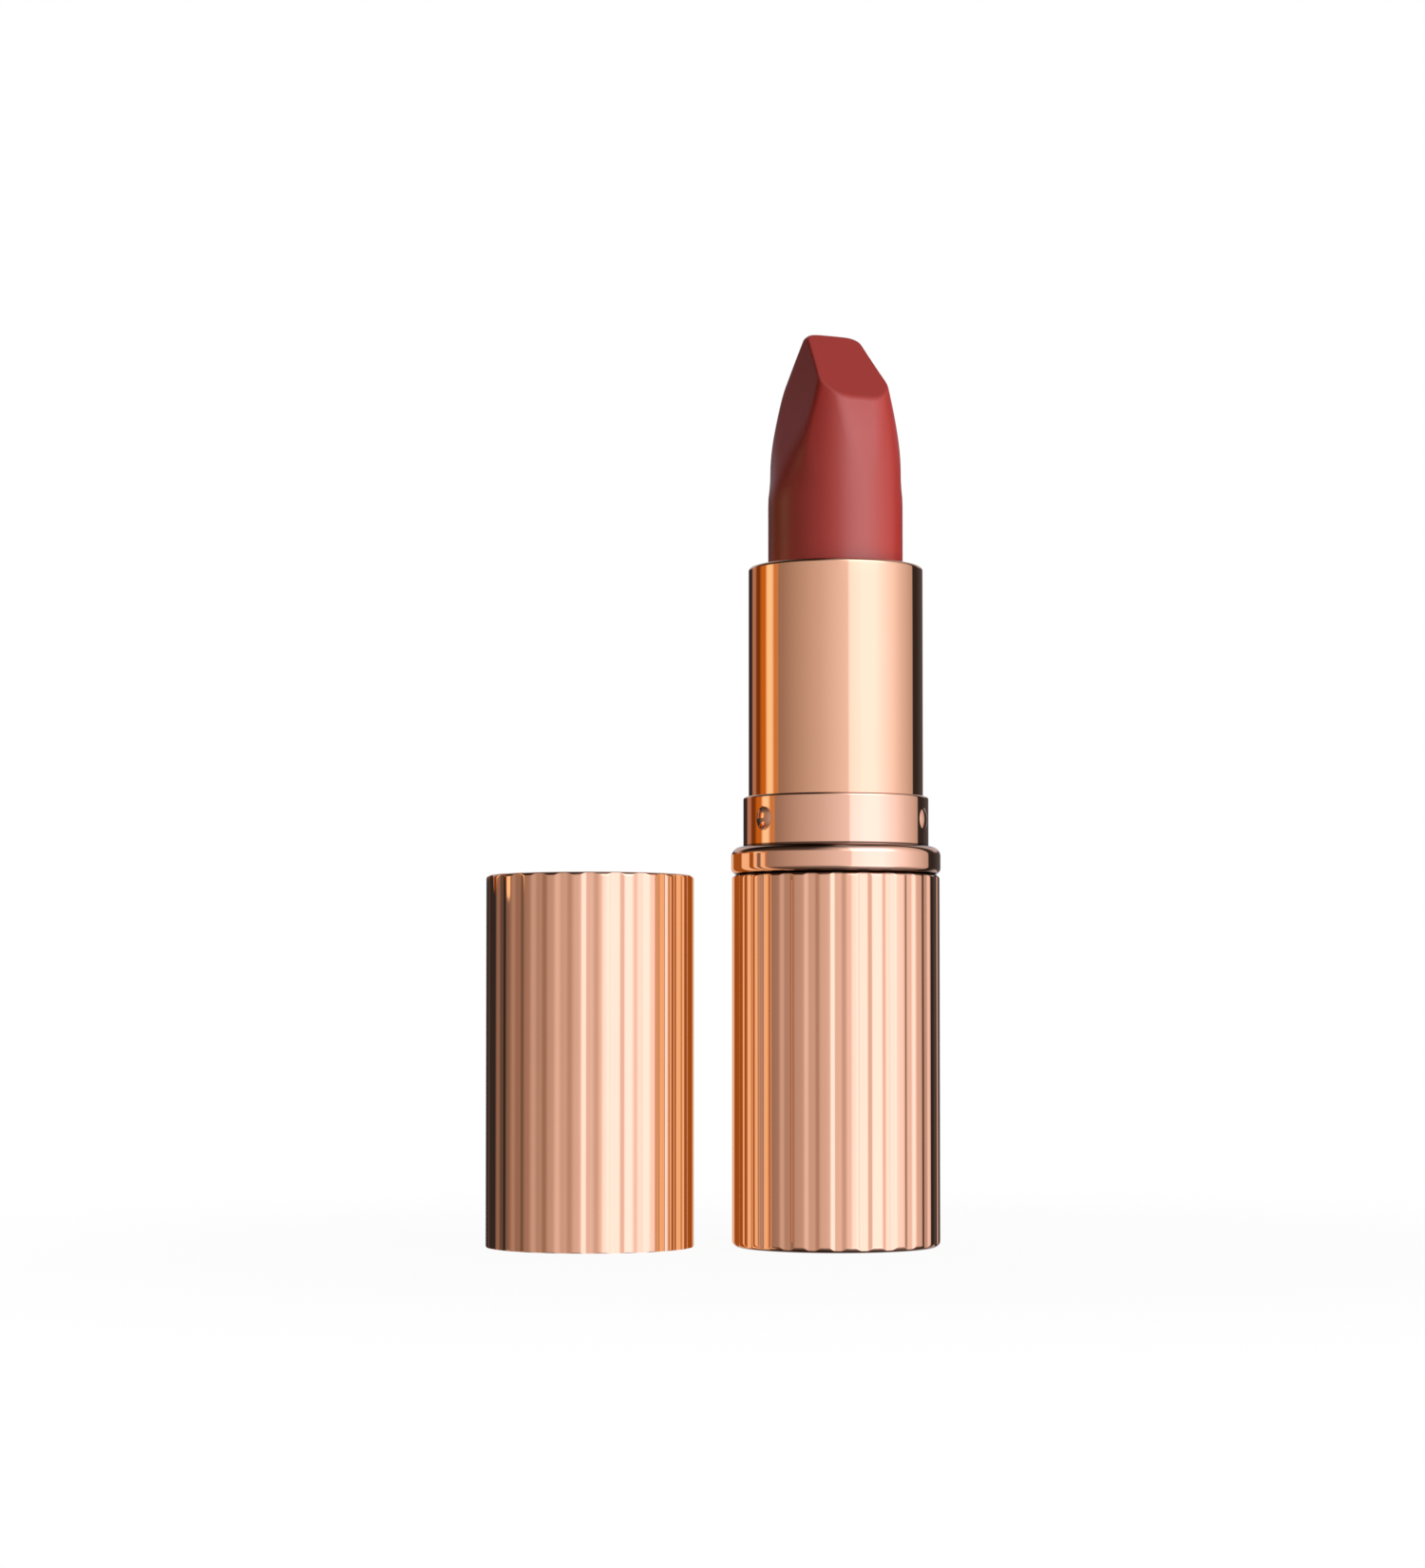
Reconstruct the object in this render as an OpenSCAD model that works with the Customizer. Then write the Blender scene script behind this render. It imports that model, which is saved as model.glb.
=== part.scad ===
// Twist-up lipstick case with a fluted base, a fluted pull-off cap and a slanted colour stick.
// The case is open: the colour stick is wound fully up and the cap stands beside the base on its open end.
// The origin is the middle of the base's underside, +Z up.

/* [Case] */
// Radius over the crests of the flutes, on base and cap
case_r = 9.8; // [9.7:0.05:10.2]
// Height of the fluted base shell
base_h = 34.8; // [33:0.1:36]
// Height of the cap
cap_h = 34.8; // [33:0.1:37]
// Distance from the base's axis to the axis of the standing cap
cap_gap = 23.1; // [22:0.1:40]
// Number of flutes round base and cap
flutes = 25; // [20:1:28]
// Depth of a flute
flute_depth = 0.15; // [0.1:0.01:0.25]
// Radius of the cutter that makes a flute
flute_cut_r = 3.6; // [3:0.1:5]

/* [Collar and bead] */
// Height of the rounded ring between base and collar
bead_h = 2.65; // [2.2:0.05:3]
// Outer radius of the rounded ring
bead_r = 9.87; // [9.7:0.01:10.2]
// Radius of the ring's upper edge
bead_top_round = 0.85; // [0.5:0.05:1.2]
// Radius of the ring's lower edge
bead_foot_round = 0.65; // [0.3:0.05:0.9]
// Outer radius of the collar that the cap grips
collar_r = 8.75; // [8.65:0.01:8.8]
// Height of the collar above the ring
collar_h = 4.7; // [4.2:0.1:5.2]
// Number of raised pips round the collar
pips = 3; // [2:1:6]
// How far a pip stands out
pip_rise = 0.2; // [0.1:0.01:0.21]
// Radius of a pip's outline
pip_r = 1; // [0.6:0.05:1.1]

/* [Tube] */
// Outer radius of the smooth tube
tube_r = 8.24; // [8.2:0.01:8.26]
// Height of the tube's rim above the table
tube_top = 63.8; // [63.4:0.1:65]

/* [Colour stick] */
// Radius of the colour stick
stick_r = 6.35; // [6.2:0.01:6.36]
// Height of the stick's tip above the table when it is wound up
stick_top = 86.1; // [85:0.1:86.4]
// How far the stick winds down
travel = 23; // [22.6:0.1:23.2]
// Turn of the tube that winds the stick right down, in degrees
twist = 468; // [360:12:540]
// Direction that the slanted face looks, in degrees to the right of straight ahead
stick_turn = 26; // [0:1:45]

/* [Hidden] */
$fn = 96;

rose_gold = "#dba184";
rose_gold_pink = "#dfa893";
moulded = "#e9e4dc";
lip_red = "#9c3431";
far = 100;      // reach of a cutting block, more than any piece's size

// Drawn shells; the two turns say where one flute's middle lies round the axis
base_flute_turn = -90.8;
cap_flute_turn = -88.1;
shell_bore = 9.1;
base_floor = 1.3;
label_r = 8.2;
label_t = 0.3;
label_recess = 0.35;
label_play = 0.05;
cap_roof = 0.9;
foot_round = 0.6;
mouth_round = 0.1;
shoulder_round = 0.5;
collar_round = 0.25;
cap_round = 0.4;

// Running fits from the stick outwards
cup_bore = stick_r + 0.03;
cup_r = 6.75;
guide_bore = 6.82;
guide_r = 7.17;
spiral_bore = 7.24;
spiral_r = 7.86;
tube_bore = 7.88;
collar_bore = 8.3;
liner_bore = 8.32;
liner_r = 9.08;

// Heights inside
collar_foot = base_h;
bead_top = base_h + bead_h;
collar_top = bead_top + collar_h;
pip_z = bead_top + 2.5;
pip_turn = -22;
guide_seat = 24.2;
guide_floor = guide_seat + 1.3;
guide_top = tube_top - 1.1;
spiral_foot = guide_floor + 0.2;
spiral_top = guide_top - 1.1;
tube_lip = 0.8;
tube_rim_out = 0.35;
tube_rim_in = 0.25;
tube_lip_bore = 7.05;

// Base liner, weight and rings
pocket_r = 7.7;
socket_r = 7.36;
socket_foot = 17;
plug_t = 1.6;
drag_r = 0.26;
drag_groove = 0.3;
drag_heights = [28, 32];
ring_groove_r = 7;
ring_t = 0.6;

// Stick, cup and lugs
cup_foot = 50;
cup_h = 12.4;
cup_floor = 1;
lug_r = 0.6;
lug_reach = 7.6;
lug_z = cup_foot + 1.3;
slot_w = 1.4;
slot_play = 0.3;
groove_r = 7.66;
groove_h = 1.6;
groove_step = 12;
groove_overrun = 6;

// Colour stick's slanted end
swell_h = 16.2;
swell_foot = stick_top - swell_h;
swell_r = 56;
stick_side = stick_r + 0.1;
face_foot_z = stick_top - 6.4;
face_foot_p = 4.82;
face_top_p = -0.7;
// Half-widths across the flat sides, each after its height above the swell's foot
side_widths = [[3.2, 5.7], [6.6, 4.75], [9.8, 3.75], [swell_h + 0.1, 2.75]];

// Cap liner
cap_liner_foot = 0.4;
cap_liner_roof = 0.9;
mouth_bore = 8.84;
mouth_depth = 7;
click_groove_r = 8.97;
click_z0 = 1.6;
click_z1 = 3.4;
upper_bore = 8.5;

// Points of an arc in an outline, from angle a0 to a1
function arc(x, z, r, a0, a1, steps = 6) =
    [for (i = [0 : steps]) let (a = a0 + (a1 - a0) * i / steps) [x + r * cos(a), z + r * sin(a)]];

// Round tube between two heights
module sleeve(r_out, r_in, z0, z1) {
    rotate_extrude()
        polygon([[r_in, z0], [r_out, z0], [r_out, z1], [r_in, z1]]);
}

// Solid round body with rounded lower and upper edges
module round_blank(r, h, low_round, high_round) {
    rotate_extrude()
        polygon(concat(
            [[0, 0]],
            arc(r - low_round, low_round, low_round, -90, 0),
            arc(r - high_round, h - high_round, high_round, 0, 90),
            [[0, h]]
        ));
}

// One cutter for each flute, as long as the shell
module flute_cutters(h, turn) {
    for (i = [0 : flutes - 1])
        rotate(turn + 360 / flutes * i)
            translate([case_r - flute_depth + flute_cut_r, 0, -1])
                cylinder(r = flute_cut_r, h = h + 2);
}

module base_shell() {
    color(rose_gold)
        difference() {
            round_blank(case_r, base_h, foot_round, shoulder_round);
            flute_cutters(base_h, base_flute_turn);
            translate([0, 0, base_floor])
                cylinder(r = shell_bore, h = base_h);
            translate([0, 0, -1])
                cylinder(r = label_r, h = label_recess + 1);
        }
}

module base_label() {
    color("white")
        cylinder(r = label_r - label_play, h = label_t);
}

// Moulded liner: pocket for the weight below, socket for the guide, running bore above
module base_liner() {
    color(moulded)
        difference() {
            sleeve(liner_r, socket_r, base_floor, base_h);
            translate([0, 0, base_floor - 1])
                cylinder(r = pocket_r, h = socket_foot - base_floor + 1);
            translate([0, 0, guide_seat])
                cylinder(r = liner_bore, h = base_h);
            for (z = drag_heights)
                translate([0, 0, z - drag_groove])
                    cylinder(r = tube_r + 2 * drag_r + 0.06, h = 2 * drag_groove);
        }
}

module base_weight() {
    color("slategray")
        translate([0, 0, base_floor + plug_t + 0.05])
            cylinder(r = pocket_r - 0.05, h = socket_foot - base_floor - plug_t - 0.15);
}

module weight_plug() {
    color(moulded)
        translate([0, 0, base_floor + 0.02])
            cylinder(r = pocket_r - 0.03, h = plug_t);
}

// Rounded ring round the collar's foot
module bead_ring() {
    color(rose_gold_pink)
        rotate_extrude()
            polygon(concat(
                [[collar_r + 0.02, base_h]],
                arc(bead_r - bead_foot_round, base_h + bead_foot_round, bead_foot_round, -90, 0),
                arc(bead_r - bead_top_round, bead_top - bead_top_round, bead_top_round, 0, 90),
                [[collar_r + 0.02, bead_top]]
            ));
}

// Plain sleeve; the raised pips that the cap clicks over are caps of spheres, evenly spaced
module collar() {
    ball_r = (pip_r * pip_r + pip_rise * pip_rise) / (2 * pip_rise);
    color(rose_gold_pink)
        difference() {
            union() {
                translate([0, 0, collar_foot])
                    round_blank(collar_r, collar_top - collar_foot, mouth_round, collar_round);
                for (i = [0 : pips - 1])
                    rotate(pip_turn + 360 / pips * i)
                        translate([collar_r + pip_rise - ball_r, 0, pip_z])
                            sphere(r = ball_r);
            }
            translate([0, 0, collar_foot - 1])
                cylinder(r = collar_bore, h = collar_top);
        }
}

module drag_ring(z) {
    color("dimgray")
        translate([0, 0, z])
            rotate_extrude()
                translate([tube_r + 0.02 + drag_r, 0])
                    circle(r = drag_r, $fn = 32);
}

module lower_drag_ring() {
    drag_ring(drag_heights[0]);
}

module upper_drag_ring() {
    drag_ring(drag_heights[1]);
}

// Inner sleeve fixed to the base: hollow stem, flange on the liner's seat, tube with two slots
module guide_sleeve() {
    stem_bore = 6.3;
    flange_r = 8.24;
    color(moulded)
        difference() {
            rotate_extrude()
                polygon([
                    [0, guide_seat + 0.02],
                    [stem_bore, guide_seat + 0.02],
                    [stem_bore, socket_foot + 0.2],
                    [socket_r - 0.02, socket_foot + 0.2],
                    [socket_r - 0.02, guide_seat + 0.02],
                    [flange_r, guide_seat + 0.02],
                    [flange_r, guide_floor],
                    [guide_r, guide_floor],
                    [guide_r, spiral_top + 0.1],
                    [ring_groove_r, spiral_top + 0.1],
                    [ring_groove_r, spiral_top + 0.14 + ring_t],
                    [guide_r, spiral_top + 0.14 + ring_t],
                    [guide_r, guide_top],
                    [guide_bore, guide_top],
                    [guide_bore, guide_floor],
                    [0, guide_floor]
                ]);
            translate([-far / 2, -slot_w / 2, lug_z - travel - lug_r - slot_play])
                cube([far, slot_w, travel + 2 * (lug_r + slot_play)]);
        }
}

module retaining_ring() {
    color("silver")
        sleeve(spiral_r - 0.16, ring_groove_r + 0.02, spiral_top + 0.12, spiral_top + 0.12 + ring_t);
}

// One section of a helical groove cutter, square to the axis, at turn angle a
function groove_section(a) =
    let (z = lug_z + travel * a / twist)
    [for (p = [[-1, -1], [1, -1], [1, 1], [-1, 1]])
        let (r = p[0] < 0 ? spiral_bore - 0.4 : groove_r)
        [r * cos(a), r * sin(a), z + p[1] * groove_h / 2]];

// Helical groove from the lug's lowest place to its highest, with a little overrun
module groove_cutter() {
    first = -twist - groove_overrun;
    span = twist + 2 * groove_overrun;
    steps = ceil(span / groove_step);
    sections = [for (i = [0 : steps]) groove_section(first + span * i / steps)];
    points = [for (s = sections, p = s) p];
    walls = [for (i = [0 : steps - 1], k = [0 : 3], half = [0, 1])
        let (a = 4 * i + k, b = 4 * i + (k + 1) % 4)
        half == 0 ? [a, b + 4, a + 4] : [a, b, b + 4]];
    last = 4 * steps;
    ends = [[0, 2, 1], [0, 3, 2], [last, last + 1, last + 2], [last, last + 2, last + 3]];
    polyhedron(points, concat(ends, walls));
}

module spiral_sleeve() {
    color(moulded)
        difference() {
            sleeve(spiral_r, spiral_bore, spiral_foot, spiral_top);
            for (start = [0, 180])
                rotate(start)
                    groove_cutter();
        }
}

// Smooth tube with its rim turned in over the mechanism
module tube_shell() {
    color(rose_gold)
        rotate_extrude()
            polygon(concat(
                [[tube_bore, spiral_foot], [tube_r, spiral_foot]],
                arc(tube_r - tube_rim_out, tube_top - tube_rim_out, tube_rim_out, 0, 90),
                arc(tube_lip_bore + tube_rim_in, tube_top - tube_rim_in, tube_rim_in, 90, 180),
                [[tube_lip_bore, tube_top - tube_lip], [tube_bore, tube_top - tube_lip]]
            ));
}

// Cup for the stick, with a lug on each side that runs through the slots into the grooves
module bullet_cup() {
    color(moulded)
        union() {
            difference() {
                translate([0, 0, cup_foot])
                    cylinder(r = cup_r, h = cup_h);
                translate([0, 0, cup_foot + cup_floor])
                    cylinder(r = cup_bore, h = cup_h);
            }
            for (side = [0, 180])
                rotate(side)
                    translate([cup_bore + 0.15, 0, lug_z])
                        rotate([0, 90, 0])
                            cylinder(r = lug_r, h = lug_reach - cup_bore - 0.15, $fn = 32);
        }
}

// Radius of an arc that leaves an upright line and moves in by w over a height h
function swell(w, h) = (w * w + h * h) / (2 * w);

// Side view of the slanted end: back swells in, slanted face, front swells in
module stick_side_outline() {
    back_h = stick_top - swell_foot;
    back_r = swell(stick_side + face_top_p, back_h);
    front_h = face_foot_z - swell_foot;
    front_r = swell(stick_side - face_foot_p, front_h);
    polygon(concat(
        [[-stick_side, cup_foot], [stick_side, cup_foot]],
        arc(stick_side - front_r, swell_foot, front_r, 0, asin(front_h / front_r)),
        arc(back_r - stick_side, swell_foot, back_r, 180 - asin(back_h / back_r), 180, 10)
    ));
}

// Front view of the slanted end: flat sides that run out into the round stick
module stick_front_outline() {
    half = concat(
        [[stick_side, cup_foot], [stick_side, swell_foot]],
        [for (s = side_widths) [s[1], swell_foot + s[0]]]
    );
    polygon(concat(half, [for (i = [len(half) - 1 : -1 : 0]) [-half[i][0], half[i][1]]]));
}

module bullet() {
    color(lip_red)
        intersection() {
            rotate_extrude()
                polygon(concat(
                    [[0, cup_foot + cup_floor], [stick_r, cup_foot + cup_floor]],
                    arc(stick_r - swell_r, swell_foot, swell_r, 0, asin(swell_h / swell_r), 10),
                    [[0, stick_top]]
                ));
            rotate(stick_turn - 90)
                rotate([90, 0, 0])
                    linear_extrude(height = far, center = true)
                        stick_side_outline();
            rotate(stick_turn)
                rotate([90, 0, 0])
                    linear_extrude(height = far, center = true)
                        stick_front_outline();
        }
}

module cap_shell() {
    color(rose_gold)
        translate([-cap_gap, 0, 0])
            difference() {
                round_blank(case_r, cap_h, mouth_round, cap_round);
                flute_cutters(cap_h, cap_flute_turn);
                translate([0, 0, -1])
                    cylinder(r = shell_bore, h = cap_h - cap_roof + 1);
            }
}

// Moulded liner: gripping mouth with the groove for the pips, wider bore above
module cap_liner() {
    roof = cap_h - cap_roof - 0.05;
    color(moulded)
        translate([-cap_gap, 0, 0])
            rotate_extrude()
                polygon([
                    [mouth_bore, cap_liner_foot],
                    [liner_r, cap_liner_foot],
                    [liner_r, roof],
                    [0, roof],
                    [0, roof - cap_liner_roof],
                    [upper_bore, roof - cap_liner_roof],
                    [upper_bore, mouth_depth + 0.4],
                    [mouth_bore, mouth_depth],
                    [mouth_bore, click_z1],
                    [click_groove_r, click_z1 - 0.2],
                    [click_groove_r, click_z0 + 0.2],
                    [mouth_bore, click_z0]
                ]);
}

base_shell();
base_label();
base_liner();
base_weight();
weight_plug();
bead_ring();
collar();
lower_drag_ring();
upper_drag_ring();
guide_sleeve();
retaining_ring();
spiral_sleeve();
tube_shell();
bullet_cup();
bullet();
cap_shell();
cap_liner();
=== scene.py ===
"""Fluted twist-up lipstick case: its visible pieces, their finishes and a plain studio.

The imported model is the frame. Every piece made here rides on one of its bodies, takes its main
sizes from the node that it stands for, and stays inside that node's box. Lengths are in metres.
"""
from __future__ import annotations

import logging
import math
from dataclasses import dataclass, field
from enum import Enum
from typing import Any, Callable, Sequence, Union

import bpy
import numpy as np
from mathutils import Matrix, Vector


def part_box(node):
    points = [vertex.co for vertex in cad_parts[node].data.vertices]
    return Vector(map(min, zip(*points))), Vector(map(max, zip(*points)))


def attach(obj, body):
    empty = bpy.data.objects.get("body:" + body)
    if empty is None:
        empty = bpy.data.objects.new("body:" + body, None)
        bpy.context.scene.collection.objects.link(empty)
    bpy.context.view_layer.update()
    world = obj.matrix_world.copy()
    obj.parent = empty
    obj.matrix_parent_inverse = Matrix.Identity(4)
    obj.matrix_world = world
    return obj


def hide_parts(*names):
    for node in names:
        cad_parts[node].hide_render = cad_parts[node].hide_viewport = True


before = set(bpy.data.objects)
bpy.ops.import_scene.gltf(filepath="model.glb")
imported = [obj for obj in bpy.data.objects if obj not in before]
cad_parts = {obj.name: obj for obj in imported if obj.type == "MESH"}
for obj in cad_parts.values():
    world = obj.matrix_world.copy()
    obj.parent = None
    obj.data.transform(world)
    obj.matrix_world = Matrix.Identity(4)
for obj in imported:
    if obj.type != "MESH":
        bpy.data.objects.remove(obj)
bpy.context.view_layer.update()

LOG = logging.getLogger("lipstick_case")
MM = 0.001
CLEARANCE = 0.02 * MM
ROUND_COLUMNS = 320
Colour = tuple[float, float, float]
Outline = list[tuple[float, float]]


# ---------------------------------------------------------------- shader graphs


class MixMode(Enum):
    """How two colours are mixed."""

    PLAIN = "MIX"
    MULTIPLY = "MULTIPLY"
    ADD = "ADD"


class Signal:
    """One number in a node tree, usable in Python expressions.

    Each operator adds the Math node that works it out.
    """

    def __init__(self, graph: Graph, socket: bpy.types.NodeSocket) -> None:
        """Wraps an output socket.

        Args:
            graph: the graph that the socket belongs to.
            socket: the output socket that carries the number.
        """
        self.graph = graph
        self.socket = socket

    def __add__(self, other: Term) -> Signal:
        """Sum of two terms."""
        return self.graph.math("ADD", self, other)

    def __radd__(self, other: Term) -> Signal:
        """Sum with a plain number on the left."""
        return self.graph.math("ADD", other, self)

    def __sub__(self, other: Term) -> Signal:
        """Difference of two terms."""
        return self.graph.math("SUBTRACT", self, other)

    def __rsub__(self, other: Term) -> Signal:
        """Difference with a plain number on the left."""
        return self.graph.math("SUBTRACT", other, self)

    def __mul__(self, other: Term) -> Signal:
        """Product of two terms."""
        return self.graph.math("MULTIPLY", self, other)

    def __rmul__(self, other: Term) -> Signal:
        """Product with a plain number on the left."""
        return self.graph.math("MULTIPLY", other, self)

    def __truediv__(self, other: Term) -> Signal:
        """Quotient of two terms."""
        return self.graph.math("DIVIDE", self, other)

    def __neg__(self) -> Signal:
        """The term with its sign changed."""
        return self.graph.math("MULTIPLY", self, -1.0)

    def __abs__(self) -> Signal:
        """The term without its sign."""
        return self.graph.math("ABSOLUTE", self, 0.0)

    def most(self, other: Term) -> Signal:
        """The larger of two terms."""
        return self.graph.math("MAXIMUM", self, other)


Term = Union[Signal, int, float]


class Graph:
    """A node tree under construction, for a material or for the world."""

    def __init__(self, tree: bpy.types.NodeTree) -> None:
        """Empties a tree and starts building in it.

        Args:
            tree: the node tree to fill.
        """
        self.tree = tree
        self.tree.nodes.clear()

    def add(self, kind: str, settings: dict[str, Any] | None = None, **inputs: Any) -> bpy.types.Node:
        """Adds one node.

        Args:
            kind: the node's type, such as "ShaderNodeTexNoise".
            settings: attributes of the node, set before its sockets.
            inputs: socket values or links by name, with underscores for spaces, or "_0" for an index.

        Returns:
            The new node.
        """
        node = self.tree.nodes.new(kind)
        for name, value in (settings or {}).items():
            setattr(node, name, value)
        for name, value in inputs.items():
            key: int | str = int(name[1:]) if name[1:].isdigit() else name.replace("_", " ")
            self.plug(node.inputs[key], value)
        return node

    def plug(self, socket: bpy.types.NodeSocket, value: Any) -> None:
        """Sets or links an input socket.

        Args:
            socket: the input socket.
            value: a number, a tuple, a signal or an output socket.
        """
        if isinstance(value, Signal):
            self.tree.links.new(value.socket, socket)
        elif isinstance(value, bpy.types.NodeSocket):
            self.tree.links.new(value, socket)
        elif isinstance(value, tuple) and socket.type == "RGBA" and len(value) == 3:
            socket.default_value = (*value, 1.0)
        else:
            socket.default_value = value

    def math(self, operation: str, a: Term, b: Term) -> Signal:
        """Adds a Math node.

        Args:
            operation: the node's operation.
            a: first term.
            b: second term.

        Returns:
            The result.
        """
        node = self.add("ShaderNodeMath", {"operation": operation}, _0=a, _1=b)
        return Signal(self, node.outputs[0])

    def smooth(self, value: Term, low: float, high: float, start: float = 0.0, end: float = 1.0) -> Signal:
        """Eases from one number to another while a value crosses a range.

        Args:
            value: the value that is tested.
            low: where the change starts.
            high: where the change is done.
            start: result at and below low.
            end: result at and above high.

        Returns:
            The eased number.
        """
        node = self.add(
            "ShaderNodeMapRange",
            {"interpolation_type": "SMOOTHSTEP"},
            Value=value,
            From_Min=low,
            From_Max=high,
            To_Min=start,
            To_Max=end,
        )
        return Signal(self, node.outputs["Result"])

    def noise(self, scale: float, detail: float, stretch: Colour = (1.0, 1.0, 1.0)) -> Signal:
        """Noise over the piece's own space.

        Args:
            scale: cells per metre.
            detail: octaves.
            stretch: factors on the coordinates.

        Returns:
            Noise from 0 to 1.
        """
        place = self.add("ShaderNodeTexCoord").outputs["Object"]
        scaled = self.add("ShaderNodeVectorMath", {"operation": "MULTIPLY"}, _0=place, _1=stretch)
        node = self.add("ShaderNodeTexNoise", Vector=scaled.outputs[0], Scale=scale, Detail=detail)
        return Signal(self, node.outputs[0])

    def share_of(self, colour: Colour, share: float) -> Colour:
        """A colour dimmed to a share of itself."""
        return tuple(c * share for c in colour)

    def mix(self, factor: Term, a: Any, b: Any, mode: MixMode = MixMode.PLAIN) -> bpy.types.NodeSocket:
        """Mixes two colours.

        Args:
            factor: share of the second colour.
            a: first colour.
            b: second colour.
            mode: how they are mixed.

        Returns:
            The mixed colour's socket.
        """
        node = self.add("ShaderNodeMix", {"data_type": "RGBA", "blend_type": mode.value}, _0=factor)
        self.plug(node.inputs[6], a)
        self.plug(node.inputs[7], b)
        return node.outputs[2]

    def ramp(self, value: Term, stops: Sequence[tuple[float, Colour]]) -> bpy.types.NodeSocket:
        """Runs a value through a colour ramp.

        Args:
            value: position along the ramp, 0 to 1.
            stops: places and colours, in order.

        Returns:
            The colour's socket.
        """
        node = self.add("ShaderNodeValToRGB", _0=value)
        elements = node.color_ramp.elements
        while len(elements) < len(stops):
            elements.new(0.5)
        for element, (place, colour) in zip(elements, stops):
            element.position = place
            element.color = (*colour, 1.0)
        return node.outputs["Color"]

    def bump(self, height: Term, distance: float) -> bpy.types.NodeSocket:
        """Turns a height into a normal.

        Args:
            height: height from 0 to 1.
            distance: metres that a height of 1 stands for.

        Returns:
            The normal's socket.
        """
        node = self.add("ShaderNodeBump", Strength=1.0, Distance=distance, Height=height)
        return node.outputs["Normal"]


@dataclass(frozen=True)
class Finish:
    """A finish with a Principled surface. Subclasses say what varies over it."""

    name: str
    colour: Colour
    roughness: float = 0.4
    metallic: float = 0.0
    fixed: tuple[tuple[str, Any], ...] = ()

    def material(self) -> bpy.types.Material:
        """Builds the material, or returns the one that was built before.

        Returns:
            The material.
        """
        made = bpy.data.materials.get(self.name)
        if made is not None:
            return made
        made = bpy.data.materials.new(self.name)
        made.use_nodes = True
        graph = Graph(made.node_tree)
        surface = graph.add("ShaderNodeBsdfPrincipled", Roughness=self.roughness, Metallic=self.metallic)
        for socket, value in self.fixed:
            surface.inputs[socket].default_value = value
        self.vary(graph, surface)
        graph.add("ShaderNodeOutputMaterial", Surface=surface.outputs[0])
        made.diffuse_color = (*self.colour, 1.0)
        return made

    def vary(self, graph: Graph, surface: bpy.types.Node) -> None:
        """Plugs in what varies over the surface.

        Args:
            graph: the material's graph.
            surface: its Principled node.
        """
        raise NotImplementedError


@dataclass(frozen=True)
class PolishedMetal(Finish):
    """Bright anodised metal: faint tone drift, polishing haze, hairlines and painted shade along given
    seams.
    """

    haze: float = 0.05
    drift: float = 0.06
    cloud_scale: float = 90.0
    line_scale: float = 420.0
    line_stretch: Colour = (1.0, 1.0, 0.02)
    line_depth: float = 0.0004 * MM
    shaded_seams: tuple[float, ...] = ()
    seam_shade_level: float = 0.16
    seam_shade_core: float = 0.1 * MM
    seam_shade_edge: float = 0.24 * MM

    def vary(self, graph: Graph, surface: bpy.types.Node) -> None:
        """Drifts tone and gloss slowly, with hairlines drawn along the height and painted shade darkening
        the metal at each seam between parts.
        """
        cloud = graph.noise(self.cloud_scale, 3.0)
        lines = graph.noise(self.line_scale, 4.0, self.line_stretch)
        tone = graph.mix(cloud, graph.share_of(self.colour, 1.0 - self.drift), self.colour)
        # painted shade: the metal darkens near each seam height, standing in for the shadow in the groove
        # between parts
        for seam in self.shaded_seams:
            away = abs(self.height(graph) - seam)
            inside = graph.smooth(away, self.seam_shade_core, self.seam_shade_edge, 1.0, 0.0)
            tone = graph.mix(inside, tone, graph.share_of(self.colour, self.seam_shade_level))
        graph.plug(surface.inputs["Base Color"], tone)
        graph.plug(surface.inputs["Roughness"], self.roughness + self.haze * (cloud * lines))
        graph.plug(surface.inputs["Normal"], graph.bump(lines, self.line_depth))

    def height(self, graph: Graph) -> Signal:
        """Height above the table."""
        place = graph.add("ShaderNodeTexCoord").outputs["Object"]
        return Signal(graph, graph.add("ShaderNodeSeparateXYZ", Vector=place).outputs["Z"])


@dataclass(frozen=True)
class Wax(Finish):
    """Satin cosmetic wax: pigment drift, soft gloss and a faint moulded skin."""

    deep: Colour = (0.46, 0.017, 0.011)
    pigment_scale: float = 260.0
    skin_scale: float = 2600.0
    skin_depth: float = 0.006 * MM
    gloss_drift: float = 0.06

    def vary(self, graph: Graph, surface: bpy.types.Node) -> None:
        """Mixes pigment tones and roughens the skin very slightly."""
        pigment = graph.noise(self.pigment_scale, 5.0)
        skin = graph.noise(self.skin_scale, 3.0)
        graph.plug(surface.inputs["Base Color"], graph.mix(pigment * 0.5, self.colour, self.deep))
        graph.plug(surface.inputs["Roughness"], self.roughness + self.gloss_drift * (pigment - 0.5))
        graph.plug(surface.inputs["Normal"], graph.bump(skin, self.skin_depth))


@dataclass(frozen=True)
class Moulded(Finish):
    """Injection-moulded plastic with a fine satin texture."""

    flow_scale: float = 140.0
    flow_shade: float = 0.9
    grain_scale: float = 3800.0
    grain_depth: float = 0.008 * MM
    grain_haze: float = 0.1

    def vary(self, graph: Graph, surface: bpy.types.Node) -> None:
        """Adds flow marks to the colour and a fine grain to the surface."""
        flow = graph.noise(self.flow_scale, 3.0, (1.0, 1.0, 0.3))
        grain = graph.noise(self.grain_scale, 2.0)
        darker = graph.share_of(self.colour, self.flow_shade)
        graph.plug(surface.inputs["Base Color"], graph.mix(flow, darker, self.colour))
        graph.plug(surface.inputs["Roughness"], self.roughness + self.grain_haze * (grain - 0.5))
        graph.plug(surface.inputs["Normal"], graph.bump(grain, self.grain_depth))


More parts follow.
